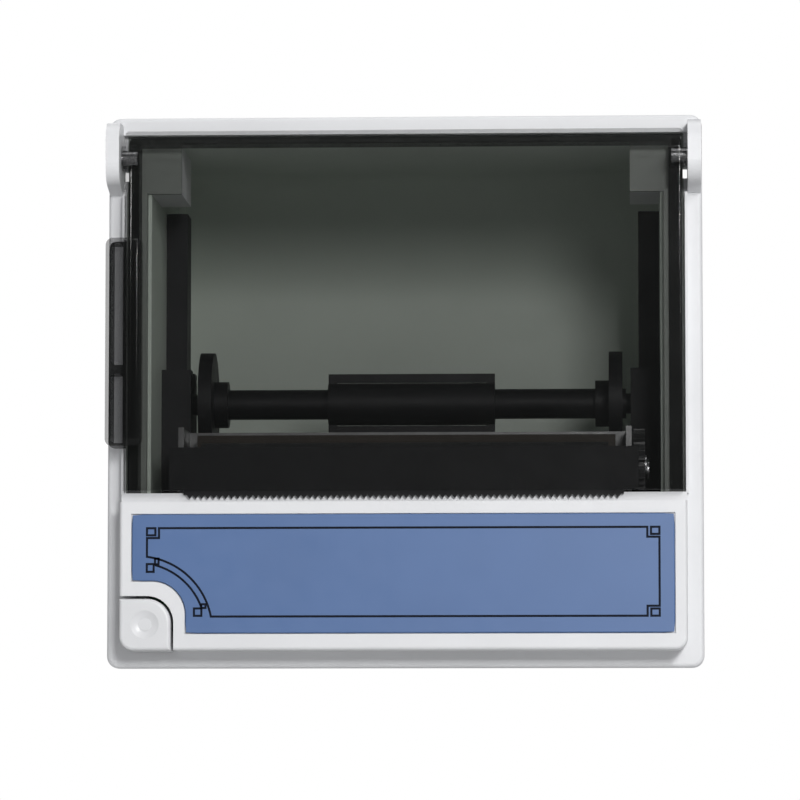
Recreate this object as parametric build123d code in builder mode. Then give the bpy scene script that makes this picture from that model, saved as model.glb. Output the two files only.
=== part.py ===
"""Panel printer with a hinged smoked cover, in millimetres.

The front faces -Y, X runs to the right and Z up. The origin is the centre of the flange's back
face, which lies on the panel that the printer is mounted in.
"""
from build123d import *
import math
import os

os.makedirs("parts", exist_ok=True)

# Paper that the printer is made for, and the walls round it
paper_width = 57.5
wall = 2.0
moving_gap = 0.3
bearing_gap = 0.05

# Flange and housing
flange_height = 79.0
flange_thick = 2.5
flange_corner = 1.7
flange_over_cover = 2.5
flange_under_panel = 2.3
flange_edge = 0.6
front_raise = 6.5
bucket_depth = 50.0
bucket_round_top = 20.0
bucket_round_bottom = 5.0
bucket_over_cover = 0.5
bucket_over_panel = 0.7
opening_lip = 0.5
rim_seat = 0.5
pocket_depth = 1.5
boss_depth = 14.0
lip_raise = 1.7

# Cover and its hinge
cover_past_bucket = 1.2
cover_bottom = -14.6
cover_round = 2.5
cover_back_gap = 0.4
hinge_y = -5.6
hinge_under_top = 3.8
hinge_pin_radius = 1.0
hinge_pin_in_ear = 1.2
hinge_boss_radius = 1.8
ear_thick = 1.9
ear_gap = 0.7
ear_height = 10.0
ear_slope = 1.5
ear_round = 3.0
ear_proud = 0.4
swing_radius = 4.4

# Grip on the cover's left edge
grip_top = 21.4
grip_bottom = -8.3
grip_reach = 2.5
grip_overlap = 2.8
grip_proud = 1.4
grip_wall = 0.8
grip_back = -4.6
grip_rib = 1.7
grip_rib_z = 2.0

# Front panel, label and feed button
panel_past_cover = 0.4
panel_joint = 0.2
panel_corner = 1.7
panel_edge = 0.5
throat_depth = 1.4
throat_back = -6.2
throat_wall = 1.6
label_side = 1.8
label_under_joint = 3.2
label_over_edge = 2.4
label_thick = 0.6
label_sink = 0.4
label_play = 0.1
label_corner = 0.85
label_past_button = 2.1
label_over_button = 2.5
label_cut_round = 4.8
button_size = 7.3
button_round = 3.4
button_foot_round = 2.0
button_proud = 0.2
button_wall = 1.0
button_gap = 0.4
button_travel = 0.5
button_stem_radius = 1.4
button_stem = 1.0
dimple_radius = 2.0
dimple_depth = 0.45
dimple_flat_radius = 0.9
dimple_flat_depth = 0.25

# Tear bar
tear_past_paper = 2.45
tear_teeth = 72
tear_thick = 0.4
tear_tooth = 0.55
tear_drop = 1.05

# Platen and its bracket
platen_y = -2.2
platen_over_edge = 3.8
platen_radius = 3.4
platen_past_paper = 0.25
platen_shaft_radius = 1.5
platen_bushing_radius = 2.2
bracket_sheet = 0.6
bracket_rise = 2.5
cheek_thick = 1.0
bracket_screw_radius = 0.65

# Gears, on one plane at the right end
gear_module = 0.4
platen_teeth = 15
idler_teeth = 28
pinion_teeth = 10
gear_width = 1.6
mesh_play = 0.05
axle_radius = 1.0

# Print mechanism
head_past_paper = 1.25
head_thick = 1.0
head_under_line = 1.4
head_over_line = 4.8
head_paper_gap = 0.15
sink_thick = 1.6
spring_length = 2.6
spring_radius = 1.2
spring_wire = 0.4
spring_pitch = 20.0
frame_sheet = 0.8
frame_front = -3.4
frame_back = 13.0
frame_over_head = 0.8
frame_under_motor = 3.0
frame_stand_in = 5.0
frame_stand_y = 4.0
frame_floor_front = 0.0
motor_radius = 5.75
motor_length = 12.0
motor_ear = 0.8
motor_shaft_radius = 0.75
sensor_width = 6.0
sensor_depth = 2.2
sensor_height = 3.5

# Paper spool
spool_y = 20.0
spool_z = 0.0
spool_rod_radius = 2.2
spool_journal_radius = 1.5
disc_radius = 7.65
disc_thick = 2.0
hub_radius = 3.4
hub_width = 2.0
clip_width = 24.5
clip_height = 8.9
clip_strip = 1.25
clip_thick = 1.2
clip_collar = 0.9
post_thick = 4.3
post_width = 10.0
post_top = 4.8
rail_thick = 3.1
rail_width = 6.0
boss_height = 6.8
tray_radius = 17.0
tray_thick = 1.2
tray_start = -112.0
tray_end = -15.0

# Electronics
board_thick = 1.6
board_stand = 3.9
board_side_gap = 6.5
board_depth = 28.0
board_back_gap = 4.0
board_screw_in = 4.0
power_width = 12.0
power_in = 17.0
data_width = 20.0
data_in = 18.0
chip_size = 10.0
chip_height = 1.2
chip_in = 6.0
module_width = 5.0
module_height = 1.5
capacitor_radius = 3.2
capacitor_height = 6.0
connector_height = 8.0
connector_wall = 1.0
connector_socket = 8.0
connector_proud = 1.0
contact_size = 0.8
rear_plate_thick = 1.5
rear_plate_side = 0.5
window_edge = 2.5
switch_size = 3.6
switch_height = 3.4
button_board_thick = 1.0

# Side clamps and fasteners
clamp_width = 3.4
clamp_depth = 8.0
clamp_height = 11.0
clamp_y = 24.0
clamp_rail = 1.2
clamp_rail_half = 1.0
clamp_rail_start = 8.0
clamp_screw_radius = 1.25
clamp_screw_length = 24.0
screw_head_radius = 1.9
screw_head = 1.2
standoff_radius = 2.2

# Widths, worked outwards from the paper
platen_length = paper_width + 2 * platen_past_paper
head_width = paper_width + 2 * head_past_paper
tear_width = paper_width + 2 * tear_past_paper
disc_inner = platen_length / 2
disc_outer = disc_inner + disc_thick
cheek_x = platen_length / 2 + 2 * moving_gap + 0.4
cheek_outer = cheek_x + cheek_thick
frame_side_x = cheek_outer + 0.5
frame_side_outer = frame_side_x + frame_sheet
gear_x = frame_side_outer + moving_gap
gear_end = gear_x + gear_width
bay_half = gear_end + gear_width + 0.7
bucket_half = bay_half + wall
bucket_width = 2 * bucket_half
cover_half = bucket_half + cover_past_bucket
cover_width = 2 * cover_half
panel_half = cover_half + panel_past_cover
ear_inner = cover_half + ear_gap
ear_outer = ear_inner + ear_thick
flange_width = 2 * (ear_outer + 0.2)
bracket_width = 2 * (gear_x + 0.7)
post_inner = bay_half - post_thick
rail_inner = bay_half - rail_thick
label_width = 2 * (panel_half - label_side)
board_width = 2 * (bay_half - board_side_gap)
power_x = power_in - board_width / 2
data_x = board_width / 2 - data_in

# Heights
cover_top = flange_height / 2 - flange_over_cover
bucket_top = cover_top + bucket_over_cover
bay_top = bucket_top - wall
hinge_z = cover_top - hinge_under_top
ear_top = hinge_z + ear_height / 2
ear_bottom = hinge_z - ear_height / 2
panel_bottom = flange_under_panel - flange_height / 2
panel_top = cover_bottom - panel_joint
bucket_bottom = panel_bottom + bucket_over_panel
bay_bottom = bucket_bottom + wall
rail_top = bay_top - boss_height
label_top = panel_top - label_under_joint
label_height = label_top - panel_bottom - label_over_edge
print_line = cover_bottom + platen_over_edge
bracket_top = print_line + bracket_rise
head_bottom = print_line - head_under_line
head_top = print_line + head_over_line
frame_top = head_top + frame_over_head
board_z = bay_bottom + board_stand
board_top = board_z + board_thick

# Depths
flange_front = -flange_thick
front_y = flange_front - front_raise
cover_back = flange_front - cover_back_gap
bay_back = bucket_depth - wall
board_back = bay_back - board_back_gap
board_front = board_back - board_depth
pocket_back = pocket_depth - flange_thick
head_front = platen_y + platen_radius + head_paper_gap
head_back = head_front + head_thick
sink_back = head_back + sink_thick
spring_back = sink_back + spring_length
button_front = front_y - button_proud
button_board_front = pocket_back - button_board_thick
switch_front = button_board_front - switch_height
connector_end = bucket_depth + rear_plate_thick + connector_proud

# Gear train
platen_pitch = gear_module * platen_teeth / 2
idler_pitch = gear_module * idler_teeth / 2
pinion_pitch = gear_module * pinion_teeth / 2
idler_y = platen_y + platen_pitch + idler_pitch + mesh_play
motor_z = print_line - idler_pitch - pinion_pitch - mesh_play
frame_bottom = motor_z - motor_radius - frame_under_motor

# Feed button and the label's scoop round it
button_left = -panel_half
button_right = button_left + button_size
button_bottom = panel_bottom
button_top = button_bottom + button_size
button_x = button_left + button_size / 2
button_z = button_bottom + button_size / 2
label_cut_x = button_right + label_past_button + label_width / 2
label_cut_z = button_top + label_over_button - label_top + label_height


def face_at(y):
    """Front view plane at depth y: X and Z in the sketch, extruding towards the viewer."""
    return Plane.XZ.offset(-y)


def side_at(x):
    """Side view plane at width x: Y and Z in the sketch, extruding towards +X."""
    return Plane.YZ.offset(x)


def block(x0, x1, y0, y1, z0, z1, mode=Mode.ADD):
    """A rectangular block between the given limits."""
    with Locations(((x0 + x1) / 2, (y0 + y1) / 2, (z0 + z1) / 2)):
        Box(x1 - x0, y1 - y0, z1 - z0, mode=mode)


def flank(side, inner, outer, y0, y1, z0, z1, mode=Mode.ADD):
    """A block on one side, its inner and outer limits measured from the middle."""
    block(min(side * inner, side * outer), max(side * inner, side * outer), y0, y1, z0, z1, mode)


def rod_x(x0, x1, y, z, radius, mode=Mode.ADD):
    """A round bar along X."""
    with Locations(Location(((x0 + x1) / 2, y, z), (0, 90, 0))):
        Cylinder(radius, x1 - x0, mode=mode)


def span_x(side, inner, outer, y, z, radius, mode=Mode.ADD):
    """A round bar along X on one side, its ends measured from the middle."""
    rod_x(min(side * inner, side * outer), max(side * inner, side * outer), y, z, radius, mode)


def rod_y(x, z, y0, y1, radius, mode=Mode.ADD):
    """A round bar along Y."""
    with Locations(Location((x, (y0 + y1) / 2, z), (90, 0, 0))):
        Cylinder(radius, y1 - y0, mode=mode)


def rod_z(x, y, z0, z1, radius, mode=Mode.ADD):
    """A round bar along Z."""
    with Locations((x, y, (z0 + z1) / 2)):
        Cylinder(radius, z1 - z0, mode=mode)


def gear_points(teeth, y, z, phase):
    """Outline of a small moulded gear with straight flanks, as points in Y and Z."""
    pitch_radius = gear_module * teeth / 2
    root = pitch_radius - 1.25 * gear_module
    tip = pitch_radius + 0.85 * gear_module
    root_half = 0.62 * gear_module
    tip_half = 0.28 * gear_module
    points = []
    for tooth in range(teeth):
        middle = 2 * math.pi * (tooth + phase) / teeth
        for radius, half in ((root, -root_half), (tip, -tip_half), (tip, tip_half), (root, root_half)):
            angle = middle + half / radius
            points.append((y + radius * math.cos(angle), z + radius * math.sin(angle)))
    return points


def label_outline(grow):
    """The label's outline in the running sketch: a rectangle with a scooped corner, grown all round."""
    corner_x = -label_width / 2
    corner_z = label_top - label_height
    with Locations((0, label_top - label_height / 2)):
        Rectangle(label_width + 2 * grow, label_height + 2 * grow)
    with Locations((corner_x, corner_z)):
        Rectangle(2 * (label_cut_x - grow), 2 * (label_cut_z - grow), mode=Mode.SUBTRACT)
    corners = vertices().sort_by_distance((corner_x + label_cut_x, corner_z + label_cut_z))
    fillet(corners[0], label_cut_round - grow)
    fillet(corners[1:], label_corner + grow)


def save(part, name):
    """Label a finished piece and write it to its own file."""
    part.label = name
    export_step(part, f"parts/{name}.step")


# Bezel frame: the flange, the two hinge ears and the thin lips beside the cover
opening_half = bay_half + opening_lip
with BuildPart() as bezel_frame:
    with BuildSketch(face_at(0)):
        RectangleRounded(flange_width, flange_height, flange_corner)
    extrude(amount=flange_thick)
    fillet(bezel_frame.faces().sort_by(Axis.Y)[0].edges(), flange_edge)
    block(-opening_half, opening_half, flange_front, 0, bay_bottom - opening_lip, bay_top + opening_lip,
          Mode.SUBTRACT)
    # Seat for the bucket's rim, and a pocket where the cover's top edge swings in
    block(-bucket_half, bucket_half, -rim_seat, 0, bucket_bottom, bucket_top, Mode.SUBTRACT)
    block(-ear_inner, ear_inner, flange_front, pocket_back, hinge_z - swing_radius, cover_top, Mode.SUBTRACT)
    for side in (-1, 1):
        with BuildSketch(side_at(min(side * ear_inner, side * ear_outer))):
            with BuildLine():
                Polyline((flange_front, ear_bottom), (front_y - ear_proud, ear_bottom + ear_slope),
                         (front_y - ear_proud, ear_top), (flange_front, ear_top), close=True)
            make_face()
            fillet(vertices().group_by(Axis.X)[0], ear_round)
        extrude(amount=ear_thick)
        span_x(side, ear_inner, ear_inner + hinge_pin_in_ear + 0.1, hinge_y, hinge_z,
               hinge_pin_radius + bearing_gap, Mode.SUBTRACT)
        flank(side, cover_half + moving_gap, ear_inner, flange_front - lip_raise, flange_front, panel_top,
              ear_bottom)
        # Slot beside the hinge, open to the back
        flank(side, cover_half + 0.05, ear_inner, pocket_back, 0, ear_bottom + 2.3, ear_bottom + 3.7,
              Mode.SUBTRACT)
        # Corner boss inside the bucket
        flank(side, post_inner, bay_half, pocket_back, boss_depth, rail_top, bay_top)
        flank(side, post_inner, opening_half, pocket_back, -rim_seat, rail_top, bay_top + opening_lip)
    switch_room = switch_size / 2 + moving_gap
    block(button_x - switch_room, button_x + switch_room, flange_front, pocket_back,
          button_z - switch_room, button_z + switch_room, Mode.SUBTRACT)
    outer_faces = bezel_frame.faces().filter_by(Axis.X).sort_by(Axis.X)
    fillet(outer_faces[0].edges() + outer_faces[-1].edges(), 0.5)
    # Shelf that carries the button board
    shelf_right = button_right + 3 * switch_size
    block(-opening_half, shelf_right, pocket_back, -rim_seat, bay_bottom - opening_lip, button_top + 1.5)
    block(-bay_half, shelf_right, -rim_seat, rim_seat, bay_bottom, button_top + 1.5)
save(bezel_frame.part, "bezel_frame")

# Paper bucket: open at the front, round at the back, with clamp rails on its sides
window_bottom = board_top - moving_gap
window_top = board_top + connector_height + 1.0
with BuildPart() as paper_bucket:
    with BuildSketch(side_at(-bucket_half)):
        with BuildLine():
            Polyline((-rim_seat, bucket_bottom), (bucket_depth, bucket_bottom), (bucket_depth, bucket_top),
                     (-rim_seat, bucket_top), close=True)
        make_face()
        fillet(vertices().group_by(Axis.X)[-1].sort_by(Axis.Y)[-1], bucket_round_top)
        fillet(vertices().group_by(Axis.X)[-1].sort_by(Axis.Y)[0], bucket_round_bottom)
    extrude(amount=bucket_width)
    with BuildSketch(side_at(-bay_half)):
        with BuildLine():
            Polyline((-rim_seat, bay_bottom), (bay_back, bay_bottom), (bay_back, bay_top),
                     (-rim_seat, bay_top), close=True)
        make_face()
        fillet(vertices().group_by(Axis.X)[-1].sort_by(Axis.Y)[-1], bucket_round_top - wall)
        fillet(vertices().group_by(Axis.X)[-1].sort_by(Axis.Y)[0], bucket_round_bottom - wall)
    extrude(amount=2 * bay_half, mode=Mode.SUBTRACT)
    # Window for the connectors
    block(window_edge - bay_half, bay_half - window_edge, bay_back, bucket_depth, window_bottom, window_top,
          Mode.SUBTRACT)
    for side in (-1, 1):
        flank(side, bucket_half, bucket_half + clamp_rail, clamp_rail_start, clamp_y + clamp_depth + 4.0,
              -clamp_rail_half, clamp_rail_half)
        # Standoffs under the print mechanism and the control board
        rod_z(side * (frame_side_x - frame_stand_in), frame_stand_y, bay_bottom, frame_bottom, standoff_radius)
        for y in (board_front + board_screw_in, board_back - board_screw_in):
            rod_z(side * (board_width / 2 - board_screw_in), y, bay_bottom, board_z, standoff_radius)
save(paper_bucket.part, "paper_bucket")

# Rear plate over the window, with a hole for each connector
rear_plate_half = bay_half - rear_plate_side
rear_plate_back = bucket_depth + rear_plate_thick
rear_plate_top = window_top + 4.0
rear_plate_bottom = window_bottom - 1.0
with BuildPart() as rear_plate:
    block(-rear_plate_half, rear_plate_half, bucket_depth, rear_plate_back, rear_plate_bottom, rear_plate_top)
    for x, width in ((power_x, power_width), (data_x, data_width)):
        block(x - width / 2 - moving_gap, x + width / 2 + moving_gap, bucket_depth, rear_plate_back,
              board_top - moving_gap, board_top + connector_height + moving_gap, Mode.SUBTRACT)
    fillet(rear_plate.edges().filter_by(Axis.Y).group_by(Axis.X)[0], 1.0)
    fillet(rear_plate.edges().filter_by(Axis.Y).group_by(Axis.X)[-1], 1.0)
save(rear_plate.part, "rear_plate")

with BuildPart() as rear_screws:
    for side in (-1, 1):
        screw_x = side * (rear_plate_half - screw_head_radius - 0.8)
        screw_z = rear_plate_top - screw_head_radius - 0.4
        rod_y(screw_x, screw_z, rear_plate_back, rear_plate_back + screw_head, screw_head_radius)
        block(screw_x - 1.2, screw_x + 1.2, rear_plate_back + screw_head / 2, rear_plate_back + screw_head,
              screw_z - 0.25, screw_z + 0.25, Mode.SUBTRACT)
save(rear_screws.part, "rear_screws")

# Front panel: the raised white block below the cover
with BuildPart() as front_panel:
    with BuildSketch(face_at(flange_front)):
        with BuildLine():
            Polyline((-panel_half, panel_top), (panel_half, panel_top), (panel_half, panel_bottom),
                     (-panel_half, panel_bottom), close=True)
        make_face()
        fillet(vertices().group_by(Axis.X)[-1].sort_by(Axis.Y)[0], panel_corner)
    extrude(amount=front_raise)
    front_edges = front_panel.faces().sort_by(Axis.Y)[0].edges()
    fillet(front_edges, panel_edge)
    block(-panel_half + wall, panel_half - wall, front_y + wall, flange_front, panel_bottom + wall,
          panel_top - throat_depth - throat_wall, Mode.SUBTRACT)
    # Paper throat: a step behind the tear bar
    block(-panel_half, panel_half, front_y, throat_back, panel_top - throat_depth, panel_top, Mode.SUBTRACT)
    block(-panel_half + wall, panel_half - wall, throat_back + throat_wall, flange_front,
          panel_top - throat_depth - throat_wall, panel_top, Mode.SUBTRACT)
    # Corner left free for the feed button
    with BuildSketch(face_at(flange_front)):
        with BuildLine():
            Polyline((-panel_half, panel_bottom), (button_right + button_gap, panel_bottom),
                     (button_right + button_gap, button_top + button_gap),
                     (-panel_half, button_top + button_gap), close=True)
        make_face()
        fillet(vertices().group_by(Axis.X)[-1].sort_by(Axis.Y)[-1], button_round + button_gap)
    extrude(amount=front_raise, mode=Mode.SUBTRACT)
    # Shallow seat for the label
    with BuildSketch(face_at(front_y + label_sink)):
        label_outline(label_play)
    extrude(amount=label_sink, mode=Mode.SUBTRACT)
save(front_panel.part, "front_panel")

with BuildPart() as label_plate:
    with BuildSketch(face_at(front_y + label_sink)):
        label_outline(0)
    extrude(amount=label_thick)
    chamfer(label_plate.faces().sort_by(Axis.Y)[0].edges(), 0.15)
save(label_plate.part, "label_plate")

# Feed button: a square cap with a dimple, guided by the corner of the panel
button_back = flange_front - button_travel - 0.1
stem_back = front_y + wall + button_stem
with BuildPart() as feed_button:
    with BuildSketch(face_at(button_back)):
        with Locations((button_x, button_z)):
            Rectangle(button_size, button_size)
        fillet(vertices().sort_by(Axis.X)[-2:].sort_by(Axis.Y)[-1], button_round)
        fillet(vertices().sort_by(Axis.X)[:2].sort_by(Axis.Y)[0], button_foot_round)
    extrude(amount=button_back - button_front)
    fillet(feed_button.faces().sort_by(Axis.Y)[0].edges(), panel_edge)
    block(button_left + button_wall, button_right - 1.6 * button_wall, button_front + wall, button_back,
          button_bottom + 1.6 * button_wall, button_top - button_wall, Mode.SUBTRACT)
    rod_y(button_x, button_z, button_front + wall, stem_back, button_stem_radius)
    dish_radius = (dimple_radius ** 2 + dimple_depth ** 2) / (2 * dimple_depth)
    with Locations((button_x, button_front - dish_radius + dimple_depth, button_z)):
        Sphere(dish_radius, mode=Mode.SUBTRACT)
    rod_y(button_x, button_z, button_front + dimple_flat_depth, button_front + wall, dimple_flat_radius)
save(feed_button.part, "feed_button")

# Button board with its switch; the plunger moves with the button
with BuildPart() as button_board:
    block(-bay_half, shelf_right - 1.0, button_board_front, pocket_back, bay_bottom, button_top + 0.8)
save(button_board.part, "button_board")

switch_half = switch_size / 2
plunger_radius = 0.8
with BuildPart() as feed_switch:
    block(button_x - switch_half, button_x + switch_half, switch_front, button_board_front,
          button_z - switch_half, button_z + switch_half)
    rod_y(button_x, button_z, switch_front, button_board_front - 0.6, plunger_radius + bearing_gap,
          Mode.SUBTRACT)
save(feed_switch.part, "feed_switch")

with BuildPart() as switch_plunger:
    rod_y(button_x, button_z, stem_back, switch_front + 3 * button_travel, plunger_radius)
save(switch_plunger.part, "switch_plunger")

# Smoked cover: front, sides and a rolled top edge around the hinge
with BuildPart() as cover_shell:
    with BuildSketch(side_at(-cover_half)):
        with BuildLine():
            Polyline((front_y, cover_bottom), (cover_back, cover_bottom), (cover_back, cover_top),
                     (front_y, cover_top), close=True)
        make_face()
        fillet(vertices().group_by(Axis.Y)[-1], cover_round)
    extrude(amount=cover_width)
    fillet(cover_shell.faces().sort_by(Axis.Y)[0].edges().filter_by(Axis.Z), 0.5)
    block(-cover_half + wall, cover_half - wall, front_y + wall, cover_back, cover_bottom, cover_top - wall,
          Mode.SUBTRACT)
    boss_outer = ear_inner - 0.1
    pin_inner = cover_half - wall + 0.4
    for side in (-1, 1):
        span_x(side, cover_half - 0.5, boss_outer, hinge_y, hinge_z, hinge_boss_radius)
        span_x(side, pin_inner, boss_outer, hinge_y, hinge_z, hinge_pin_radius, Mode.SUBTRACT)
save(cover_shell.part, "cover_shell")

with BuildPart() as hinge_pins:
    for side in (-1, 1):
        span_x(side, pin_inner, ear_inner + hinge_pin_in_ear, hinge_y, hinge_z, hinge_pin_radius)
save(hinge_pins.part, "hinge_pins")

# Finger grip: a hollow channel outside the cover's left edge, open at the back
grip_outer = -cover_half - grip_reach
grip_inner = -cover_half + grip_overlap
grip_front = front_y - grip_proud
with BuildPart() as cover_grip:
    block(grip_outer, grip_inner, grip_front, grip_back, grip_bottom, grip_top)
    fillet(cover_grip.edges().filter_by(Axis.Z).group_by(Axis.Y)[0], 0.9)
    fillet(cover_grip.edges().filter_by(Axis.Y).group_by(Axis.X)[0], 1.0)
    block(-cover_half, grip_inner, front_y, grip_back, grip_bottom, grip_top, Mode.SUBTRACT)
    block(grip_outer + grip_wall, -cover_half - grip_wall * 0.6, grip_front + grip_wall, grip_back,
          grip_bottom + grip_wall, grip_top - grip_wall, Mode.SUBTRACT)
    block(grip_outer + grip_wall, -cover_half, grip_front + grip_wall, grip_back, grip_rib_z,
          grip_rib_z + grip_rib)
save(cover_grip.part, "cover_grip")

# Tear bar: a thin toothed strip behind the cover's lower edge
tear_front = front_y + wall + bearing_gap
tear_back = tear_front + tear_thick
tear_bottom = cover_bottom - tear_drop
tooth_pitch = tear_width / (tear_teeth + 1)
with BuildPart() as tear_bar:
    block(-tear_width / 2, tear_width / 2, tear_front, tear_back, tear_bottom + tear_tooth,
          bracket_top - 1.0)
    with BuildSketch(face_at(tear_back)):
        with BuildLine():
            outline = [(-tear_width / 2, tear_bottom + tear_tooth + 0.2)]
            for tooth in range(tear_teeth):
                tip = -tear_width / 2 + (tooth + 1) * tooth_pitch
                outline.append((tip - tooth_pitch / 2, tear_bottom + tear_tooth))
                outline.append((tip, tear_bottom))
            outline.append((tear_width / 2 - tooth_pitch / 2, tear_bottom + tear_tooth))
            outline.append((tear_width / 2, tear_bottom + tear_tooth + 0.2))
            Polyline(*outline, close=True)
        make_face()
    extrude(amount=tear_thick)
save(tear_bar.part, "tear_bar")

# Platen bracket: a folded sheet whose cheeks hold the platen
with BuildPart() as platen_bracket:
    block(-bracket_width / 2, bracket_width / 2, tear_back, tear_back + bracket_sheet, cover_bottom + 0.3,
          bracket_top)
    block(-cheek_outer, cheek_outer, tear_back, platen_y + platen_bushing_radius + 0.4, bracket_top - 0.6,
          bracket_top)
    for side in (-1, 1):
        flank(side, cheek_x, cheek_outer, tear_back, platen_y + platen_bushing_radius + 0.4,
              cover_bottom + 0.6, bracket_top)
    block(-cheek_x, cheek_x, tear_back + bracket_sheet, platen_y + platen_bushing_radius + 0.5,
          bracket_top - 0.7, platen_radius + print_line + 0.3, Mode.SUBTRACT)
    rod_x(-bracket_width, bracket_width, platen_y, print_line, platen_bushing_radius, Mode.SUBTRACT)
save(platen_bracket.part, "platen_bracket")

with BuildPart() as bracket_screws:
    for x in (-cheek_outer - 0.8, cheek_outer + 0.8):
        rod_y(x, bracket_top - 3.0, tear_back + bracket_sheet, tear_back + bracket_sheet + 0.8,
              bracket_screw_radius)
save(bracket_screws.part, "bracket_screws")

bushing_end = frame_side_outer + 0.2
with BuildPart() as platen_bushings:
    for side in (-1, 1):
        span_x(side, platen_length / 2 + 0.4, bushing_end, platen_y, print_line, platen_bushing_radius)
    rod_x(-bushing_end, bushing_end, platen_y, print_line, platen_shaft_radius + bearing_gap, Mode.SUBTRACT)
save(platen_bushings.part, "platen_bushings")

# Platen: rubber sleeve, steel shaft and gear
with BuildPart() as platen_roller:
    rod_x(-platen_length / 2, platen_length / 2, platen_y, print_line, platen_radius)
    rod_x(-platen_length, platen_length, platen_y, print_line, platen_shaft_radius, Mode.SUBTRACT)
save(platen_roller.part, "platen_roller")

with BuildPart() as platen_shaft:
    rod_x(-bushing_end - 0.3, gear_end + 0.2, platen_y, print_line, platen_shaft_radius)
save(platen_shaft.part, "platen_shaft")

with BuildPart() as platen_gear:
    with BuildSketch(side_at(gear_x)):
        with BuildLine():
            Polyline(*gear_points(platen_teeth, platen_y, print_line, 0), close=True)
        make_face()
    extrude(amount=gear_width)
    rod_x(gear_x, gear_end, platen_y, print_line, platen_shaft_radius, Mode.SUBTRACT)
save(platen_gear.part, "platen_gear")

# Reduction gear behind the platen gear, turning on an axle in the mechanism frame
with BuildPart() as reduction_gear:
    with BuildSketch(side_at(gear_x)):
        with BuildLine():
            Polyline(*gear_points(idler_teeth, idler_y, print_line, 0.5), close=True)
        make_face()
    extrude(amount=gear_width)
    rod_x(gear_x, gear_end, idler_y, print_line, axle_radius + bearing_gap, Mode.SUBTRACT)
save(reduction_gear.part, "reduction_gear")

with BuildPart() as gear_axle:
    rod_x(frame_side_x, gear_end + moving_gap, idler_y, print_line, axle_radius)
    rod_x(gear_end + moving_gap, gear_end + 2 * moving_gap, idler_y, print_line, axle_radius + 0.6)
save(gear_axle.part, "gear_axle")

with BuildPart() as motor_pinion:
    with BuildSketch(side_at(gear_x)):
        with BuildLine():
            Polyline(*gear_points(pinion_teeth, idler_y, motor_z, 0.5), close=True)
        make_face()
    extrude(amount=gear_width)
    rod_x(gear_x, gear_end, idler_y, motor_z, motor_shaft_radius, Mode.SUBTRACT)
save(motor_pinion.part, "motor_pinion")

motor_back = frame_side_x - motor_length
with BuildPart() as stepper_motor:
    rod_x(motor_back, frame_side_x, idler_y, motor_z, motor_radius)
    block(frame_side_x - motor_ear, frame_side_x, idler_y - motor_radius - 0.7, idler_y + motor_radius + 0.7,
          motor_z - 1.5, motor_z + 1.5)
    rod_x(motor_back + 1.0, frame_side_x, idler_y, motor_z, motor_shaft_radius + bearing_gap, Mode.SUBTRACT)
save(stepper_motor.part, "stepper_motor")

with BuildPart() as motor_shaft:
    rod_x(motor_back + 1.1, gear_end, idler_y, motor_z, motor_shaft_radius)
save(motor_shaft.part, "motor_shaft")

# Thermal head on its heat sink, pressed forward by three springs
with BuildPart() as thermal_head:
    block(-head_width / 2, head_width / 2, head_front, head_back, head_bottom, head_top)
save(thermal_head.part, "thermal_head")

with BuildPart() as head_heat_sink:
    block(-head_width / 2, head_width / 2, head_back, sink_back, head_bottom, head_top)
save(head_heat_sink.part, "head_heat_sink")

with BuildPart() as head_springs:
    for x in (-spring_pitch, 0.0, spring_pitch):
        rod_y(x, (head_top + head_bottom) / 2, sink_back, spring_back, spring_radius)
        rod_y(x, (head_top + head_bottom) / 2, sink_back, spring_back, spring_radius - spring_wire,
              Mode.SUBTRACT)
save(head_springs.part, "head_springs")

# Mechanism frame: two side plates with open slots for the platen bushings, a back and a floor
slot_half = platen_bushing_radius + 0.2
with BuildPart() as mechanism_frame:
    for side in (-1, 1):
        flank(side, frame_side_x, frame_side_outer, frame_front, frame_back, print_line - slot_half - 1.2,
              frame_top)
        flank(side, frame_side_x, frame_side_outer, frame_floor_front, frame_back, frame_bottom, frame_top)
    block(-frame_side_x, frame_side_x, spring_back, spring_back + frame_sheet, head_bottom - 0.2, frame_top)
    block(-frame_side_x, frame_side_x, frame_floor_front, frame_back, frame_bottom, frame_bottom + frame_sheet)
    rod_x(-bracket_width, bracket_width, platen_y, print_line, slot_half, Mode.SUBTRACT)
    for side in (-1, 1):
        flank(side, frame_side_x, frame_side_outer, frame_front, platen_y, print_line - slot_half,
              print_line + slot_half, Mode.SUBTRACT)
    rod_x(frame_side_x, frame_side_outer, idler_y, print_line, axle_radius, Mode.SUBTRACT)
    rod_x(frame_side_x, frame_side_outer, idler_y, motor_z, motor_shaft_radius + bearing_gap,
          Mode.SUBTRACT)
save(mechanism_frame.part, "mechanism_frame")

with BuildPart() as frame_screws:
    for side in (-1, 1):
        rod_z(side * (frame_side_x - frame_stand_in), frame_stand_y, frame_bottom + frame_sheet,
              frame_bottom + frame_sheet + screw_head, screw_head_radius)
save(frame_screws.part, "frame_screws")

with BuildPart() as paper_sensor:
    sensor_front = spring_back + frame_sheet
    block(-sensor_width / 2, sensor_width / 2, sensor_front, sensor_front + sensor_depth, head_bottom + 1.0,
          head_bottom + 1.0 + sensor_height)
save(paper_sensor.part, "paper_sensor")

# Paper spool: rod, two discs and a rectangular clip that grips the roll's core
with BuildPart() as spool_shaft:
    rod_x(-disc_outer - 0.5, disc_outer + 0.5, spool_y, spool_z, spool_rod_radius)
    rod_x(-bay_half + 1.0, bay_half - 1.0, spool_y, spool_z, spool_journal_radius)
save(spool_shaft.part, "spool_shaft")

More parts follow.
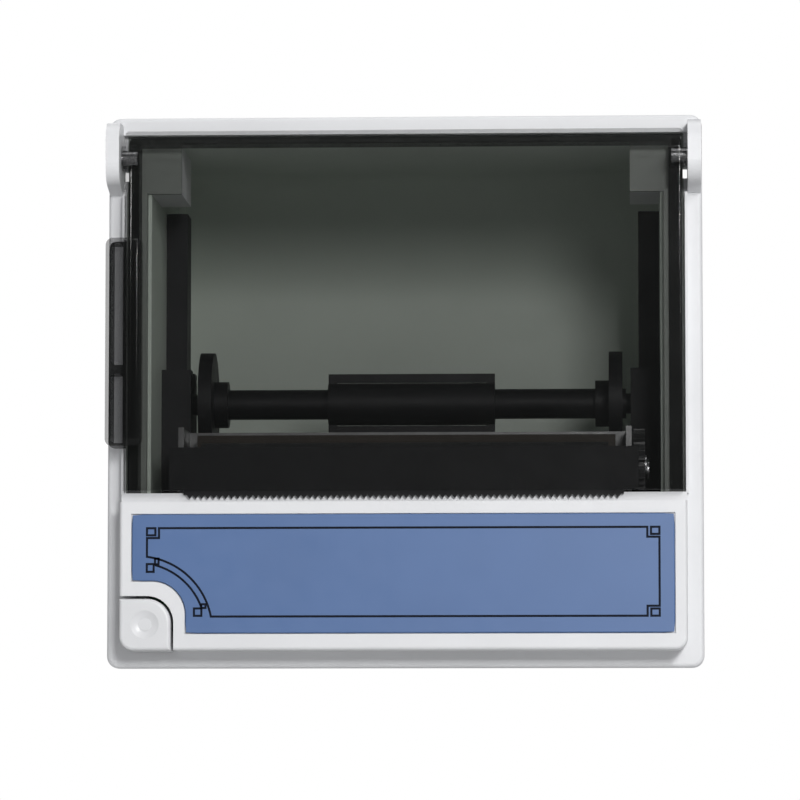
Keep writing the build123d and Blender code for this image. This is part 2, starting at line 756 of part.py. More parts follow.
for side, name in ((-1, "spool_disc_left"), (1, "spool_disc_right")):
    with BuildPart() as spool_disc:
        span_x(side, disc_inner, disc_outer, spool_y, spool_z, disc_radius)
        span_x(side, disc_inner - hub_width, disc_inner, spool_y, spool_z, hub_radius)
        rod_x(-bay_half, bay_half, spool_y, spool_z, spool_rod_radius, Mode.SUBTRACT)
    save(spool_disc.part, name)

with BuildPart() as core_clip:
    block(-clip_width / 2, clip_width / 2, spool_y - clip_thick / 2, spool_y + clip_thick / 2,
          spool_z - clip_height / 2, spool_z + clip_height / 2)
    inner_height = clip_height / 2 - clip_strip
    block(-clip_width / 2 + clip_strip, clip_width / 2 - clip_strip, spool_y - clip_thick, spool_y + clip_thick,
          spool_z - inner_height, spool_z + inner_height, Mode.SUBTRACT)
    rod_x(-clip_width / 2, clip_width / 2, spool_y, spool_z, spool_rod_radius + clip_collar)
    rod_x(-bay_half, bay_half, spool_y, spool_z, spool_rod_radius, Mode.SUBTRACT)
save(core_clip.part, "core_clip")

# Spool posts: a slotted block at each side with a guide rail above it
for side, name in ((-1, "spool_post_left"), (1, "spool_post_right")):
    slot_reach = spool_journal_radius + bearing_gap
    with BuildPart() as spool_post:
        flank(side, post_inner, bay_half, spool_y - post_width / 2, spool_y + post_width / 2, bay_bottom,
              spool_z + post_top)
        flank(side, rail_inner, bay_half, spool_y + slot_reach + 0.5, spool_y + slot_reach + 0.5 + rail_width,
              bay_bottom, rail_top)
        rod_x(-bay_half, bay_half, spool_y, spool_z, slot_reach, Mode.SUBTRACT)
        block(-bay_half, bay_half, spool_y - slot_reach, spool_y + slot_reach, spool_z, spool_z + post_top,
              Mode.SUBTRACT)
    save(spool_post.part, name)

# Paper tray: a curved sheet under the roll, between the posts
with BuildPart() as paper_tray:
    with BuildSketch(side_at(-post_inner)):
        with BuildLine():
            low = math.radians(tray_start)
            high = math.radians(tray_end)
            middle = (low + high) / 2
            outer_radius = tray_radius + tray_thick
            arc_points = []
            for radius, angles in ((tray_radius, (low, middle, high)), (outer_radius, (high, middle, low))):
                arc_points.append([(spool_y + radius * math.cos(angle), spool_z + radius * math.sin(angle))
                                   for angle in angles])
            ThreePointArc(*arc_points[0])
            Line(arc_points[0][-1], arc_points[1][0])
            ThreePointArc(*arc_points[1])
            Line(arc_points[1][-1], arc_points[0][0])
        make_face()
    extrude(amount=2 * post_inner)
save(paper_tray.part, "paper_tray")

# Control board with its chips and connectors
with BuildPart() as control_board:
    block(-board_width / 2, board_width / 2, board_front, board_back, board_z, board_z + board_thick)
save(control_board.part, "control_board")

with BuildPart() as board_chips:
    chip_left = -chip_size - chip_in
    chip_front = board_front + chip_in
    block(chip_left, -chip_in, chip_front, chip_front + chip_size, board_top, board_top + chip_height)
    block(chip_in, chip_in + module_width, chip_front, chip_front + module_width, board_top,
          board_top + module_height)
    rod_z(3 * chip_in, chip_front + capacitor_radius, board_top, board_top + capacitor_height,
          capacitor_radius)
save(board_chips.part, "board_chips")

socket_front = connector_end - connector_socket
for name, x, width in (("power_connector", power_x, power_width), ("data_connector", data_x, data_width)):
    socket_half = width / 2 - connector_wall
    with BuildPart() as connector:
        block(x - width / 2, x + width / 2, socket_front - 0.75 * connector_socket, connector_end, board_top,
              board_top + connector_height)
        block(x - socket_half, x + socket_half, socket_front, connector_end, board_top + connector_wall,
              board_top + connector_height - connector_wall, Mode.SUBTRACT)
        for share in (-0.25, 0, 0.25):
            with Locations((x + share * width, connector_end - 0.6 * connector_socket,
                            board_top + connector_height / 2)):
                Box(contact_size, 0.8 * connector_socket, contact_size)
    save(connector.part, name)

with BuildPart() as board_screws:
    for side in (-1, 1):
        for y in (board_front + board_screw_in, board_back - board_screw_in):
            rod_z(side * (board_width / 2 - board_screw_in), y, board_top, board_top + screw_head, screw_head_radius)
save(board_screws.part, "board_screws")

# Side clamps: each rides on the bucket's rail and carries a long screw against the mounting panel
clamp_screw_x = bucket_half + clamp_width / 2 + 0.2
clamp_screw_z = -clamp_rail_half - clamp_screw_radius - 0.8
clamp_back = clamp_y + clamp_depth
for side, name in ((-1, "clamp_left"), (1, "clamp_right")):
    with BuildPart() as clamp:
        flank(side, bucket_half, bucket_half + clamp_width, clamp_y, clamp_back, -clamp_height / 2,
              clamp_height / 2)
        flank(side, bucket_half, bucket_half + clamp_rail, clamp_y, clamp_back, -clamp_rail_half,
              clamp_rail_half, Mode.SUBTRACT)
        rod_y(side * clamp_screw_x, clamp_screw_z, clamp_y, clamp_back, clamp_screw_radius, Mode.SUBTRACT)
        fillet(clamp.edges().filter_by(Axis.Y).group_by(Axis.X)[0 if side < 0 else -1], 0.8)
    save(clamp.part, name)

with BuildPart() as clamp_screws:
    for side in (-1, 1):
        rod_y(side * clamp_screw_x, clamp_screw_z, clamp_back + 2.0 - clamp_screw_length, clamp_back + 2.0,
              clamp_screw_radius)
save(clamp_screws.part, "clamp_screws")
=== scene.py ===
"""Panel printer with a hinged smoked cover: finishes, printed border, light and camera."""
import math

import bmesh
import bpy
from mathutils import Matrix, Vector


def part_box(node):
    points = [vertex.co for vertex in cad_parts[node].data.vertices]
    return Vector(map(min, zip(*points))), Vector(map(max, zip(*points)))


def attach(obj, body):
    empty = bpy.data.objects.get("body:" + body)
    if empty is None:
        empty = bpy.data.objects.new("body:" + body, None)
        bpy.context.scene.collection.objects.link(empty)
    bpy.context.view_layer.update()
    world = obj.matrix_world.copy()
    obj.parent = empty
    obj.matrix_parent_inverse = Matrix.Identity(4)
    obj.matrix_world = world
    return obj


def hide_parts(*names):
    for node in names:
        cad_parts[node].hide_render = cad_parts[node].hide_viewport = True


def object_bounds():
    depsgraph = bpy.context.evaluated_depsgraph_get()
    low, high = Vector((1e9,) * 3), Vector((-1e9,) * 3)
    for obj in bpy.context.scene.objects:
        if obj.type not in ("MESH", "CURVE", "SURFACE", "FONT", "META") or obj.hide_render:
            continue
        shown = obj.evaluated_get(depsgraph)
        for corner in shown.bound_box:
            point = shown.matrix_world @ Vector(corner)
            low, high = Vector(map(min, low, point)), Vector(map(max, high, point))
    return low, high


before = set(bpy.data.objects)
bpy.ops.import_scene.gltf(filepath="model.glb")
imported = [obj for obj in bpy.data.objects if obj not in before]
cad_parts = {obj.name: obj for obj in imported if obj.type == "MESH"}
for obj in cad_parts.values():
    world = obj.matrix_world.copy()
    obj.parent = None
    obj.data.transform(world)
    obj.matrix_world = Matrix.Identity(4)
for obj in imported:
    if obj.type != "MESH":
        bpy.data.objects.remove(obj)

bl_info = {
    "name": "Panel Printer Finish",
    "version": (1, 0, 0),
    "blender": (4, 5, 0),
    "location": "View3D > Sidebar > Printer",
    "description": "Dresses a panel printer in moulded, smoked, printed and metal finishes",
    "category": "Object",
}

CAD_BOX = [list(corner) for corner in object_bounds()]

# Angles and distances of the view that the photograph gives
VIEW_AZIMUTH = 2.7
VIEW_ELEVATION = -5.0
VIEW_DISTANCE = 0.700
VIEW_LENS = 220.0
VIEW_AIM = (-0.0008, 0.0, -0.0011)

# A back face of the smoked pieces this far behind their front belongs to a rim seen along its depth
RIM_DEPTH = 0.0035
FACES_BACK = 0.7

# The border: two arcs round a point below and left of the button's middle, and the small squares
# at their ends, each as X and Z from that point, width and height
SCOOP_OFFSET = (-0.00105, 0.0, -0.0010)
SCOOP_OUTER = 0.01065
SCOOP_INNER = 0.00970
SCOOP_INNER_ANGLES = (21, 75)
SCOOP_SQUARES = (
    (0.00134, 0.00843, 0.00097, 0.00110),
    (0.00804, 0.00221, 0.00105, 0.00104),
    (0.00250, 0.00950, 0.00050, 0.00080),
    (0.00907, 0.00332, 0.00060, 0.00052),
)
BORDER_LIFT = 0.0002
STEP_RISE = 0.82
SQUARE_RISE = 0.85
INK_PROUD = 0.00001
INK_DEPTH = 0.00002

# Painted shade on the bezel's land under the cover: the box it covers lies in from the cover's sides, and
# in front of the back face
PAINTED_SHADE_INSET = 0.0004
PAINTED_SHADE_BACK = -0.0002

# Each lamp's name, place, power and width
LAMPS = (
    ("key", (0.46, -0.56, 0.52), 1.7, 0.16),
    ("front", (0.24, -1.00, 0.25), 5.9, 0.22),
    ("fill", (-0.62, -0.50, 0.10), 0.35, 0.40),
    ("top", (0.0, 0.05, 0.80), 1.5, 0.50),
    ("back", (-0.30, 0.65, 0.35), 1.6, 0.50),
)
FLOOR_BELOW = 0.060
FLOOR_GLOW = 0.8
WORLD_LEVEL = 0.15


def box_of(node):
    """Lowest and highest corner of a node, as vectors."""
    low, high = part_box(node)
    return Vector(low), Vector(high)


class PrinterColours(bpy.types.PropertyGroup):
    """Colours of the printer's finishes, in linear light."""

    shell: bpy.props.FloatVectorProperty(
        name="Shell", description="White moulded bezel, front panel and button",
        default=(0.76, 0.765, 0.78), size=3, min=0, max=1, subtype="COLOR")
    bucket: bpy.props.FloatVectorProperty(
        name="Bucket", description="Grey moulded paper bucket behind the cover",
        default=(0.60, 0.66, 0.59), size=3, min=0, max=1, subtype="COLOR")
    smoke: bpy.props.FloatVectorProperty(
        name="Smoke", description="Tint of the see-through cover and grip",
        default=(0.005, 0.0055, 0.005), size=3, min=0, max=1, subtype="COLOR")
    label: bpy.props.FloatVectorProperty(
        name="Label", description="Blue of the label on the front panel",
        default=(0.080, 0.155, 0.340), size=3, min=0, max=1, subtype="COLOR")
    border: bpy.props.FloatVectorProperty(
        name="Border", description="Ink of the label's fret border",
        default=(0.006, 0.009, 0.018), size=3, min=0, max=1, subtype="COLOR")
    black: bpy.props.FloatVectorProperty(
        name="Black", description="Black moulded spool and posts",
        default=(0.007, 0.007, 0.008), size=3, min=0, max=1, subtype="COLOR")


class PrinterSizes(bpy.types.PropertyGroup):
    """Sizes of the printed border and of the finishes' grain."""

    cover_density: bpy.props.FloatProperty(
        name="Cover density", description="How much light each face of the cover holds back",
        default=0.26, min=0, max=1, subtype="FACTOR")
    wall_density: bpy.props.FloatProperty(
        name="Wall density", description="How much light the cover's wall edges hold back",
        default=0.93, min=0, max=1, subtype="FACTOR")
    grip_density: bpy.props.FloatProperty(
        name="Grip density", description="How much light each face of the grip holds back",
        default=0.38, min=0, max=1, subtype="FACTOR")
    grain: bpy.props.FloatProperty(
        name="Grain", description="Width of the fine grain on moulded faces",
        default=0.00022, min=0.00001, max=0.01, unit="LENGTH", precision=5)
    line: bpy.props.FloatProperty(
        name="Border line", description="Width of the border's printed line",
        default=0.00031, min=0.00005, max=0.002, unit="LENGTH", precision=5)
    inset: bpy.props.FloatProperty(
        name="Border inset", description="From the label's edge to the middle of the printed line",
        default=0.00215, min=0.0005, max=0.01, unit="LENGTH", precision=5)
    step: bpy.props.FloatProperty(
        name="Corner step", description="How far the line steps in at a fret corner",
        default=0.0017, min=0.0002, max=0.01, unit="LENGTH", precision=5)
    label_round: bpy.props.FloatProperty(
        name="Label corner", description="Radius of the label's rounded corners",
        default=0.0016, min=0.0001, max=0.003, unit="LENGTH", precision=5)
    square: bpy.props.FloatProperty(
        name="Corner square", description="Side of the small square in a fret corner",
        default=0.00118, min=0.0002, max=0.01, unit="LENGTH", precision=5)


class Finish:
    """A node material built step by step: noise, colour, roughness and bump."""

    def __init__(self, name, colour, roughness, metallic=0.0):
        self.material = bpy.data.materials.new(name)
        self.material.use_nodes = True
        self.tree = self.material.node_tree
        self.shader = self.tree.nodes["Principled BSDF"]
        self.shader.inputs["Base Color"].default_value = (*colour, 1.0)
        self.shader.inputs["Roughness"].default_value = roughness
        self.shader.inputs["Metallic"].default_value = metallic
        self.colour = colour
        self.roughness = roughness
        self.place = self.tree.nodes.new("ShaderNodeTexCoord")

    def link(self, source, target):
        self.tree.links.new(source, target)

    def noise(self, width, detail=3.0, stretch=(1.0, 1.0, 1.0)):
        """Noise whose features are about as wide as given, in metres."""
        mapping = self.tree.nodes.new("ShaderNodeMapping")
        mapping.inputs["Scale"].default_value = [share / width for share in stretch]
        noise = self.tree.nodes.new("ShaderNodeTexNoise")
        noise.inputs["Scale"].default_value = 1.0
        noise.inputs["Detail"].default_value = detail
        self.link(self.place.outputs["Object"], mapping.inputs["Vector"])
        self.link(mapping.outputs["Vector"], noise.inputs["Vector"])
        return noise.outputs["Fac"]

    def spread(self, value, low, high):
        """Map noise around one half onto a range."""
        node = self.tree.nodes.new("ShaderNodeMapRange")
        node.inputs["From Min"].default_value = 0.3
        node.inputs["From Max"].default_value = 0.7
        node.inputs["To Min"].default_value = low
        node.inputs["To Max"].default_value = high
        self.link(value, node.inputs["Value"])
        return node.outputs["Result"]

    def mottle(self, width, share):
        """Vary the colour a little over broad patches."""
        mix = self.tree.nodes.new("ShaderNodeMix")
        mix.data_type = "RGBA"
        mix.inputs["A"].default_value = (*[c * (1 - share) for c in self.colour], 1.0)
        mix.inputs["B"].default_value = (*[min(1.0, c * (1 + share)) for c in self.colour], 1.0)
        self.link(self.spread(self.noise(width), 0.0, 1.0), mix.inputs["Factor"])
        self.link(mix.outputs["Result"], self.shader.inputs["Base Color"])
        self.tint = mix
        return self

    def painted_shade_land(self, colour, low, high):
        """Painted shade: another colour on the faces that lie within a box, seen from the front."""
        axes = self.tree.nodes.new("ShaderNodeSeparateXYZ")
        self.link(self.place.outputs["Object"], axes.inputs["Vector"])
        share = None
        for axis, level, side in (("X", low.x, "GREATER_THAN"), ("X", high.x, "LESS_THAN"),
                                  ("Z", low.z, "GREATER_THAN"), ("Z", high.z, "LESS_THAN"),
                                  ("Y", high.y, "LESS_THAN")):
            inside = self.tree.nodes.new("ShaderNodeMath")
            inside.operation = side
            inside.inputs[1].default_value = level
            self.link(axes.outputs[axis], inside.inputs[0])
            if share is None:
                share = inside.outputs["Value"]
                continue
            both = self.tree.nodes.new("ShaderNodeMath")
            both.operation = "MULTIPLY"
            self.link(share, both.inputs[0])
            self.link(inside.outputs["Value"], both.inputs[1])
            share = both.outputs["Value"]
        mix = self.tree.nodes.new("ShaderNodeMix")
        mix.data_type = "RGBA"
        mix.inputs["B"].default_value = (*colour, 1.0)
        self.link(self.tint.outputs["Result"], mix.inputs["A"])
        self.link(share, mix.inputs["Factor"])
        self.link(mix.outputs["Result"], self.shader.inputs["Base Color"])
        return self

    def dull(self, level):
        """Weaken the mirror-like part of the gloss."""
        self.shader.inputs["Specular IOR Level"].default_value = level
        return self

    def uneven_gloss(self, width, change):
        """Vary the roughness around its value."""
        value = self.spread(self.noise(width), self.roughness - change, self.roughness + change)
        self.link(value, self.shader.inputs["Roughness"])
        return self

    def grain(self, width, depth, stretch=(1.0, 1.0, 1.0)):
        """Raise a fine grain, its depth in metres."""
        bump = self.tree.nodes.new("ShaderNodeBump")
        bump.inputs["Strength"].default_value = 1.0
        bump.inputs["Distance"].default_value = depth
        self.link(self.noise(width, 2.0, stretch), bump.inputs["Height"])
        self.link(bump.outputs["Normal"], self.shader.inputs["Normal"])
        return self

    def see_through(self, density):
        """Let light through the faces, keeping the gloss on top."""
        self.shader.inputs["Alpha"].default_value = density
        self.material.surface_render_method = "BLENDED"
        return self


def dress(material, *nodes):
    """Give a finish to CAD nodes, in every slot that they have."""
    for name in nodes:
        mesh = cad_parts[name].data
        mesh.materials.clear()
        mesh.materials.append(material)


def moulded(name, colour, roughness, grain, depth=0.000004):
    """Injection-moulded plastic with a fine spark-eroded grain."""
    finish = Finish(name, colour, roughness)
    finish.mottle(0.018, 0.025).uneven_gloss(0.004, 0.04).grain(grain, depth)
    return finish


class PRINTER_OT_shell(bpy.types.Operator):
    """Finish the white bezel frame and front panel, with painted shade on the bezel's land under the
    cover
    """

    bl_idname = "printer.shell"
    bl_label = "Shell"

    def execute(self, context):
        colours = context.scene.printer_colours
        grain = context.scene.printer_sizes.grain
        white = moulded("shell_white", colours.shell, 0.42, grain)
        dress(white.material, "front_panel")
        frame_painted_shade = moulded("frame_white_painted_shade", colours.shell, 0.42, grain)
        # Painted shade: the bezel's land behind the cover gets a darker copy of the bucket grey, where
        # shade falls
        low, high = box_of("cover_shell")
        low.x += PAINTED_SHADE_INSET
        high.x -= PAINTED_SHADE_INSET
        high.y = PAINTED_SHADE_BACK
        frame_painted_shade.painted_shade_land([channel * 0.3 for channel in colours.bucket], low, high)
        dress(frame_painted_shade.material, "bezel_frame")
        return {"FINISHED"}


class PRINTER_OT_button(bpy.types.Operator):
    """Finish the feed button a little glossier than the shell"""

    bl_idname = "printer.button"
    bl_label = "Feed button"

    def execute(self, context):
        colours = context.scene.printer_colours
        shade = [channel * 0.97 for channel in colours.shell]
        cap = moulded("button_white", shade, 0.34, context.scene.printer_sizes.grain, 0.000002)
        dress(cap.material, "feed_button")
        return {"FINISHED"}


class PRINTER_OT_bucket(bpy.types.Operator):
    """Finish the grey paper bucket, tray, rear plate and clamps"""

    bl_idname = "printer.bucket"
    bl_label = "Paper bucket"

    def execute(self, context):
        colours = context.scene.printer_colours
        grain = context.scene.printer_sizes.grain
        grey = moulded("bucket_grey", colours.bucket, 0.5, grain * 1.5, 0.000006)
        dress(grey.material, "paper_bucket", "rear_plate")
        dark = moulded("tray_grey", [channel * 0.12 for channel in colours.bucket], 0.5, grain * 1.5)
        dress(dark.material, "paper_tray", "clamp_left", "clamp_right")
        return {"FINISHED"}


class PRINTER_OT_cover(bpy.types.Operator):
    """Finish the smoked cover and its finger grip"""

    bl_idname = "printer.cover"
    bl_label = "Smoked cover"

    def execute(self, context):
        colours = context.scene.printer_colours
        sizes = context.scene.printer_sizes
        window = self.smoke("cover_smoke", colours.smoke, sizes.cover_density)
        walls = self.smoke("cover_smoke_walls", colours.smoke, sizes.wall_density)
        self.build_smoked("cover_shell", "smoked_cover", window, walls)
        window = self.smoke("grip_smoke", colours.smoke, sizes.grip_density)
        walls = self.smoke("grip_smoke_walls", colours.smoke, sizes.wall_density)
        self.build_smoked("cover_grip", "smoked_grip", window, walls)
        return {"FINISHED"}

    def smoke(self, name, colour, density):
        """Glossy smoked plastic that holds back part of the light at each face."""
        finish = Finish(name, colour, 0.09)
        finish.mottle(0.02, 0.1).uneven_gloss(0.006, 0.02).grain(0.0007, 0.0000012)
        return finish.see_through(density).material

    def build_smoked(self, node, name, window, walls):
        """A node's own mesh with denser back faces where it is seen along its depth."""
        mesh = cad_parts[node].data.copy()
        mesh.name = name
        mesh.materials.clear()
        mesh.materials.append(window)
        mesh.materials.append(walls)
        low, high = box_of(node)
        for face in mesh.polygons:
            deep = face.center.y > low.y + RIM_DEPTH
            face.material_index = 1 if deep and face.normal.y > FACES_BACK else 0
        piece = bpy.data.objects.new(name, mesh)
        bpy.context.scene.collection.objects.link(piece)
        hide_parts(node)
        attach(piece, "cover")


class PRINTER_OT_label(bpy.types.Operator):
    """Finish the blue label and print its fret border"""

    bl_idname = "printer.label"
    bl_label = "Label and border"

    def execute(self, context):
        colours = context.scene.printer_colours
        sizes = context.scene.printer_sizes
        blue = Finish("label_blue", colours.label, 0.38)
        blue.mottle(0.012, 0.03).uneven_gloss(0.003, 0.04).grain(0.00012, 0.0000015)
        self.round_label(blue.material, sizes.label_round)
        ink = Finish("border_ink", colours.border, 0.6).dull(0.1)
        ink.mottle(0.004, 0.2).uneven_gloss(0.001, 0.05).grain(0.0001, 0.000001)
        border = self.print_border(sizes)
        border.data.materials.append(ink.material)
        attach(border, "housing")
        return {"FINISHED"}

    def round_label(self, finish, radius):
        """The label plate's own mesh with its sharp corners rounded."""
        mesh = bmesh.new()
        mesh.from_mesh(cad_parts["label_plate"].data)
        bmesh.ops.remove_doubles(mesh, verts=mesh.verts, dist=0.00001)
        bmesh.ops.dissolve_limit(mesh, angle_limit=math.radians(1), verts=mesh.verts, edges=mesh.edges)
        corners = []
        for edge in mesh.edges:
            along = edge.verts[1].co - edge.verts[0].co
            through = abs(along.y) > 0.9 * along.length
            if through and len(edge.link_faces) == 2 and edge.calc_face_angle() > math.radians(60):
                corners.append(edge)
        bmesh.ops.bevel(mesh, geom=corners, offset=radius, segments=8, profile=0.5, affect="EDGES")
        data = bpy.data.meshes.new("printed_label")
        mesh.to_mesh(data)
        mesh.free()
        data.materials.append(finish)
        label = bpy.data.objects.new("printed_label", data)
        bpy.context.scene.collection.objects.link(label)
        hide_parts("label_plate")
        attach(label, "housing")

    def print_border(self, sizes):
        """The fret border: a stepped outline, a scoop round the button and small squares."""
        low, high = box_of("label_plate")
        button_low, button_high = box_of("feed_button")
        left = low.x + sizes.inset
        right = high.x - sizes.inset
        bottom = low.z + sizes.inset + BORDER_LIFT
        top = high.z - sizes.inset + BORDER_LIFT
        step = sizes.step
        rise = step * STEP_RISE
        centre = (button_low + button_high) / 2 + Vector(SCOOP_OFFSET)
        mesh = bmesh.new()
        front = low.y - INK_PROUD
        start = math.degrees(math.acos((left - centre.x) / SCOOP_OUTER))
        end = math.degrees(math.asin((bottom - centre.z) / SCOOP_OUTER))
        outline = [(left, top - rise), (left + step, top - rise), (left + step, top),
                   (right - step, top), (right - step, top - rise), (right, top - rise),
                   (right, bottom + rise), (right - step, bottom + rise), (right - step, bottom)]
        outline += arc_points(centre, SCOOP_OUTER, end, start)
        self.stroke(mesh, outline, front, sizes.line, closed=True)
        self.stroke(mesh, arc_points(centre, SCOOP_INNER, *SCOOP_INNER_ANGLES), front, sizes.line)
        side = sizes.square
        flat = side * SQUARE_RISE
        squares = [(left, top - flat, side, flat), (right - side, top - flat, side, flat),
                   (right - side, bottom, side, flat)]
        squares += [(centre.x + x, centre.z + z, width, height) for x, z, width, height in SCOOP_SQUARES]
        for x, z, width, height in squares:
            square = [(x, z), (x + width, z), (x + width, z + height), (x, z + height)]
            self.stroke(mesh, square, front, sizes.line, closed=True)
        data = bpy.data.meshes.new("label_border")
        mesh.to_mesh(data)
        mesh.free()
        border = bpy.data.objects.new("label_border", data)
        bpy.context.scene.collection.objects.link(border)
        return border

    def stroke(self, mesh, points, y, width, closed=False):
        """A thin raised line of even width along points in X and Z, mitred at its corners."""
        count = len(points)
        half = width / 2
        depth = INK_DEPTH
        rings = []
        for index, point in enumerate(points):
            here = Vector(point)
            before = Vector(points[index - 1]) if closed or index > 0 else None
            after = Vector(points[(index + 1) % count]) if closed or index < count - 1 else None
            along_in = (here - before).normalized() if before is not None else (after - here).normalized()
            along_out = (after - here).normalized() if after is not None else along_in
            normal_in = Vector((-along_in.y, along_in.x))
            normal_out = Vector((-along_out.y, along_out.x))
            mitre = (normal_in + normal_out).normalized()
            reach = half / max(0.4, mitre.dot(normal_in))
            ring = []
            for sign, level in ((1, y + depth), (1, y), (-1, y), (-1, y + depth)):
                spot = here + mitre * reach * sign
                ring.append(mesh.verts.new((spot.x, level, spot.y)))
            rings.append(ring)
        pairs = list(zip(rings, rings[1:])) + ([(rings[-1], rings[0])] if closed else [])
        for first, second in pairs:
            for corner in range(4):
                following = (corner + 1) % 4
                mesh.faces.new((first[corner], first[following], second[following], second[corner]))
        if not closed:
            mesh.faces.new(rings[0][::-1])
            mesh.faces.new(rings[-1])


def arc_points(centre, radius, start, end, steps=24):
    """Points in X and Z along an arc between two angles in degrees."""
    angles = [math.radians(start + (end - start) * share / steps) for share in range(steps + 1)]
    return [(centre.x + radius * math.cos(angle), centre.z + radius * math.sin(angle))
            for angle in angles]


class PRINTER_OT_spool(bpy.types.Operator):
    """Finish the black spool, its clip and the posts that carry it"""

    bl_idname = "printer.spool"
    bl_label = "Spool and posts"

    def execute(self, context):
        colours = context.scene.printer_colours
        grain = context.scene.printer_sizes.grain
        black = moulded("spool_black", colours.black, 0.5, grain).dull(0.25)
        dress(black.material, "spool_shaft", "spool_disc_left", "spool_disc_right", "core_clip")
        post = moulded("post_black", [channel * 1.5 for channel in colours.black], 0.55, grain).dull(0.25)
        dress(post.material, "spool_post_left", "spool_post_right")
        return {"FINISHED"}


class PRINTER_OT_mechanism(bpy.types.Operator):
    """Finish the platen, thermal head, gears, motor and metal parts"""

    bl_idname = "printer.mechanism"
    bl_label = "Print mechanism"

    def execute(self, context):
        coated = Finish("coated_steel", (0.006, 0.006, 0.007), 0.5).dull(0.2)
        coated.mottle(0.006, 0.15).uneven_gloss(0.002, 0.06).grain(0.0001, 0.000002)
        dress(coated.material, "platen_bracket", "tear_bar")
        rubber = Finish("ground_rubber", (0.012, 0.012, 0.013), 0.7)
        rubber.mottle(0.004, 0.2).uneven_gloss(0.001, 0.08).grain(0.00008, 0.000006, (8.0, 1.0, 1.0))
        dress(rubber.material, "platen_roller")
        steel = Finish("bright_steel", (0.58, 0.58, 0.59), 0.28, 1.0)
        steel.mottle(0.003, 0.06).uneven_gloss(0.001, 0.08).grain(0.0001, 0.000001, (1.0, 10.0, 1.0))
        dress(steel.material, "hinge_pins", "bracket_screws", "platen_shaft", "gear_axle",
              "head_springs", "frame_screws", "board_screws", "rear_screws", "clamp_screws",
              "motor_shaft")
        sheet = Finish("plated_sheet", (0.16, 0.16, 0.16), 0.38, 1.0)
        sheet.mottle(0.005, 0.08).uneven_gloss(0.002, 0.08).grain(0.0002, 0.000002, (1.0, 6.0, 1.0))
        dress(sheet.material, "mechanism_frame", "stepper_motor")
        alloy = Finish("anodised_alloy", (0.06, 0.06, 0.065), 0.35, 1.0)
        alloy.mottle(0.005, 0.05).uneven_gloss(0.002, 0.06).grain(0.0001, 0.000002, (0.1, 1.0, 1.0))
        dress(alloy.material, "head_heat_sink")
        glaze = Finish("head_glaze", (0.05, 0.042, 0.035), 0.12)
        glaze.mottle(0.004, 0.08).uneven_gloss(0.002, 0.03).grain(0.0004, 0.000001)
        dress(glaze.material, "thermal_head")
        nylon = moulded("gear_nylon", (0.035, 0.035, 0.036), 0.38, 0.0002)
        dress(nylon.material, "platen_gear", "reduction_gear", "motor_pinion", "platen_bushings",
              "switch_plunger")
        return {"FINISHED"}


class PRINTER_OT_electronics(bpy.types.Operator):
    """Finish the boards, chips, switch, sensor and connectors"""

    bl_idname = "printer.electronics"
    bl_label = "Electronics"

    def execute(self, context):
        board = Finish("solder_mask", (0.01, 0.1, 0.035), 0.25)
        board.mottle(0.003, 0.25).uneven_gloss(0.001, 0.08).grain(0.0005, 0.000008)
        dress(board.material, "control_board", "button_board")
        parts = moulded("component_black", (0.02, 0.02, 0.022), 0.42, 0.00015)
        dress(parts.material, "board_chips", "feed_switch", "paper_sensor", "data_connector")
        ivory = moulded("connector_ivory", (0.62, 0.58, 0.48), 0.4, 0.0002)
        dress(ivory.material, "power_connector")
        return {"FINISHED"}


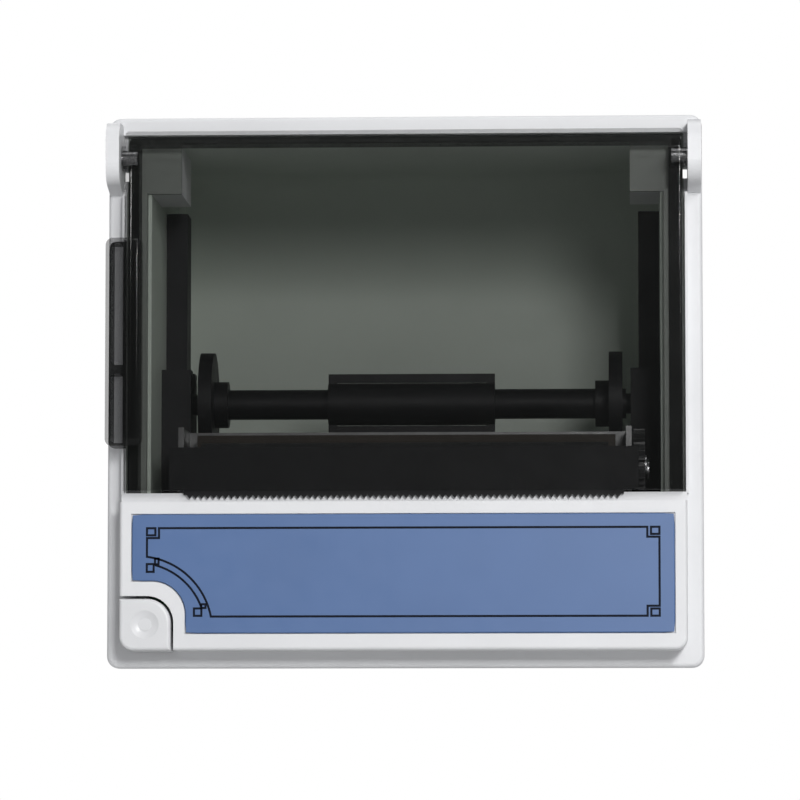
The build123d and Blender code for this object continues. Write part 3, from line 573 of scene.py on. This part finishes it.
class PRINTER_OT_stage(bpy.types.Operator):
    """Set the floor, the white surroundings, the lamps and the camera"""

    bl_idname = "printer.stage"
    bl_label = "Stage"

    def execute(self, context):
        self.floor()
        self.surroundings(context.scene)
        self.lamps()
        self.camera(context.scene)
        context.scene.view_settings.view_transform = "Standard"
        return {"FINISHED"}

    def floor(self):
        mesh = bmesh.new()
        bmesh.ops.create_grid(mesh, x_segments=4, y_segments=4, size=3.0)
        data = bpy.data.meshes.new("floor")
        mesh.to_mesh(data)
        mesh.free()
        floor = bpy.data.objects.new("floor", data)
        floor.location.z = CAD_BOX[0][2] - FLOOR_BELOW
        bpy.context.scene.collection.objects.link(floor)
        paper = Finish("floor_white", (0.6, 0.6, 0.6), 0.7)
        paper.mottle(0.2, 0.01)
        tree = paper.tree
        rays = tree.nodes.new("ShaderNodeLightPath")
        seen = tree.nodes.new("ShaderNodeMath")
        seen.operation = "MAXIMUM"
        paper.link(rays.outputs["Is Camera Ray"], seen.inputs[0])
        paper.link(rays.outputs["Is Transmission Ray"], seen.inputs[1])
        glow = tree.nodes.new("ShaderNodeEmission")
        glow.inputs["Strength"].default_value = FLOOR_GLOW
        add = tree.nodes.new("ShaderNodeAddShader")
        blend = tree.nodes.new("ShaderNodeMixShader")
        output = tree.nodes["Material Output"]
        paper.link(paper.shader.outputs["BSDF"], add.inputs[0])
        paper.link(glow.outputs["Emission"], add.inputs[1])
        paper.link(seen.outputs["Value"], blend.inputs["Fac"])
        paper.link(paper.shader.outputs["BSDF"], blend.inputs[1])
        paper.link(add.outputs["Shader"], blend.inputs[2])
        paper.link(blend.outputs["Shader"], output.inputs["Surface"])
        data.materials.append(paper.material)

    def surroundings(self, scene):
        world = bpy.data.worlds.new("surroundings")
        scene.world = world
        world.use_nodes = True
        tree = world.node_tree
        soft = tree.nodes["Background"]
        soft.inputs["Color"].default_value = (0.95, 0.97, 1.0, 1.0)
        soft.inputs["Strength"].default_value = WORLD_LEVEL
        white = tree.nodes.new("ShaderNodeBackground")
        white.inputs["Color"].default_value = (1.0, 1.0, 1.0, 1.0)
        white.inputs["Strength"].default_value = 1.0
        rays = tree.nodes.new("ShaderNodeLightPath")
        seen = tree.nodes.new("ShaderNodeMath")
        seen.operation = "MAXIMUM"
        blend = tree.nodes.new("ShaderNodeMixShader")
        tree.links.new(rays.outputs["Is Camera Ray"], seen.inputs[0])
        tree.links.new(rays.outputs["Is Transmission Ray"], seen.inputs[1])
        tree.links.new(seen.outputs["Value"], blend.inputs["Fac"])
        tree.links.new(soft.outputs["Background"], blend.inputs[1])
        tree.links.new(white.outputs["Background"], blend.inputs[2])
        tree.links.new(blend.outputs["Shader"], tree.nodes["World Output"].inputs["Surface"])

    def lamps(self):
        for name, place, power, width in LAMPS:
            data = bpy.data.lights.new(name, "AREA")
            data.energy = power
            data.size = width
            lamp = bpy.data.objects.new(name, data)
            lamp.location = place
            lamp.rotation_euler = (-Vector(place)).to_track_quat("-Z", "Y").to_euler()
            bpy.context.scene.collection.objects.link(lamp)

    def camera(self, scene):
        data = bpy.data.cameras.new("camera")
        data.lens = VIEW_LENS
        data.sensor_width = 36.0
        data.clip_start = 0.05
        camera = bpy.data.objects.new("camera", data)
        scene.collection.objects.link(camera)
        turn = math.radians(VIEW_AZIMUTH)
        rise = math.radians(VIEW_ELEVATION)
        away = Vector((math.sin(turn) * math.cos(rise), -math.cos(turn) * math.cos(rise), math.sin(rise)))
        camera.location = Vector(VIEW_AIM) + away * VIEW_DISTANCE
        camera.rotation_euler = (-away).to_track_quat("-Z", "Y").to_euler()
        scene.camera = camera


OPERATORS = (
    PRINTER_OT_shell,
    PRINTER_OT_button,
    PRINTER_OT_bucket,
    PRINTER_OT_cover,
    PRINTER_OT_label,
    PRINTER_OT_spool,
    PRINTER_OT_mechanism,
    PRINTER_OT_electronics,
    PRINTER_OT_stage,
)


class PRINTER_PT_sidebar(bpy.types.Panel):
    """Lists the printer's steps and settings in the sidebar"""

    bl_idname = "PRINTER_PT_sidebar"
    bl_label = "Panel Printer"
    bl_space_type = "VIEW_3D"
    bl_region_type = "UI"
    bl_category = "Printer"

    def draw(self, context):
        for operator in OPERATORS:
            self.layout.operator(operator.bl_idname)
        for group in (context.scene.printer_colours, context.scene.printer_sizes):
            for name in group.bl_rna.properties.keys():
                if name not in {"rna_type", "name"}:
                    self.layout.prop(group, name)


CLASSES = (PrinterColours, PrinterSizes, *OPERATORS, PRINTER_PT_sidebar)


def register():
    for cls in CLASSES:
        bpy.utils.register_class(cls)
    bpy.types.Scene.printer_colours = bpy.props.PointerProperty(type=PrinterColours)
    bpy.types.Scene.printer_sizes = bpy.props.PointerProperty(type=PrinterSizes)


def unregister():
    del bpy.types.Scene.printer_sizes
    del bpy.types.Scene.printer_colours
    for cls in reversed(CLASSES):
        bpy.utils.unregister_class(cls)


def main():
    register()
    bpy.ops.printer.shell()
    bpy.ops.printer.button()
    bpy.ops.printer.bucket()
    bpy.ops.printer.cover()
    bpy.ops.printer.label()
    bpy.ops.printer.spool()
    bpy.ops.printer.mechanism()
    bpy.ops.printer.electronics()
    bpy.ops.printer.stage()


if __name__ == "__main__":
    main()
